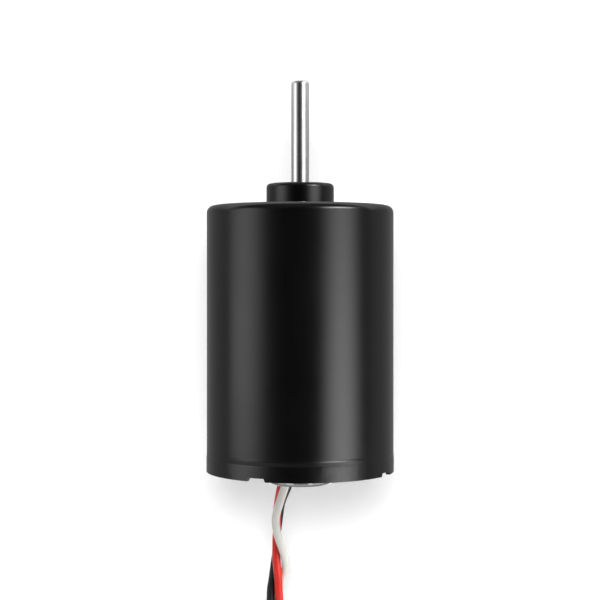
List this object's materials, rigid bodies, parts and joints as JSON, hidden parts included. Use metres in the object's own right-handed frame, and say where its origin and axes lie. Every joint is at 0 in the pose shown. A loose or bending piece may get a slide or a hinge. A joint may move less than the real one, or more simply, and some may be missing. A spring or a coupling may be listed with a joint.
{
  "type": "brushless dc motor",
  "caption": "Cylindrical inner-rotor brushless motor with a black drawn steel can, plain round shaft and flying leads from its rear cap.",
  "frame": {"origin": "centre of the front mounting face, on the shaft's axis", "axes": "+Z out along the output shaft, -Y towards the side that the picture shows, +X to the right there"},
  "size_m": [0.0422, 0.0422, 0.1883],
  "materials": {
    "can_paint": "satin black electrophoretic paint",
    "zinc_plate": "galvanised sheet",
    "bearing_steel": "ground",
    "cage_steel": "pressed strip",
    "shield_steel": "pressed strip",
    "spring_steel": "phosphated spring steel",
    "shaft_steel": "centreless ground",
    "core_steel": "turned",
    "magnet": "dark plated sintered magnet",
    "sleeve_fibre": "wound fibre bandage",
    "ring_brass": "turned",
    "lamination": "stacked electrical sheet",
    "insulator_nylon": "moulded",
    "liner_film": "polyester film",
    "copper_enamel": "enamelled copper wire",
    "board_laminate": "solder mask on laminate",
    "solder": "reflowed solder",
    "grommet_rubber": "moulded",
    "red_insulation": "extruded",
    "white_insulation": "extruded",
    "black_insulation": "extruded",
    "tinned_copper": "tinned strands"
  },
  "bodies": {
    "housing": {"can": "can_paint", "rear_cap": "zinc_plate", "front_bearing_outer_race": "bearing_steel", "front_bearing_shields": "shield_steel", "rear_bearing_outer_race": "bearing_steel", "rear_bearing_shields": "shield_steel", "wave_washer": "spring_steel", "stator_core": "lamination", "front_insulator": "insulator_nylon", "rear_insulator": "insulator_nylon", "slot_liners": "liner_film", "phase_u_coils": "copper_enamel", "phase_v_coils": "copper_enamel", "phase_w_coils": "copper_enamel", "termination_board": "board_laminate", "solder_joints": "solder", "lead_grommet": "grommet_rubber", "red_lead": "red_insulation", "white_lead": "white_insulation", "black_lead": "black_insulation", "red_lead_tip": "tinned_copper", "white_lead_tip": "tinned_copper", "black_lead_tip": "tinned_copper"},
    "rotor": {"shaft": "shaft_steel", "retaining_clip": "spring_steel", "front_bearing_inner_race": "bearing_steel", "rear_bearing_inner_race": "bearing_steel", "rotor_core": "core_steel", "north_magnets": "magnet", "south_magnets": "magnet", "rotor_sleeve": "sleeve_fibre", "front_balance_ring": "ring_brass", "rear_balance_ring": "ring_brass", "front_spacer": "core_steel", "rear_spacer": "core_steel"},
    "front_ball_set": {"front_bearing_balls": "bearing_steel", "front_bearing_cage": "cage_steel"},
    "rear_ball_set": {"rear_bearing_balls": "bearing_steel", "rear_bearing_cage": "cage_steel"}
  },
  "joints": [
    {"name": "rotor_spin", "type": "hinge", "parent": "housing", "child": "rotor", "pos_m": [0, 0, 0], "axis": [0, 0, 1], "continuous": true},
    {"name": "front_ball_set_spin", "type": "hinge", "parent": "housing", "child": "front_ball_set", "pos_m": [0, 0, 0.0015], "axis": [0, 0, 1], "continuous": true},
    {"name": "rear_ball_set_spin", "type": "hinge", "parent": "housing", "child": "rear_ball_set", "pos_m": [0, 0, -0.05845], "axis": [0, 0, 1], "continuous": true}
  ],
  "couplings": [
    {"joint": "front_ball_set_spin", "follows": "rotor_spin", "ratio": 0.36},
    {"joint": "rear_ball_set_spin", "follows": "rotor_spin", "ratio": 0.36}
  ]
}
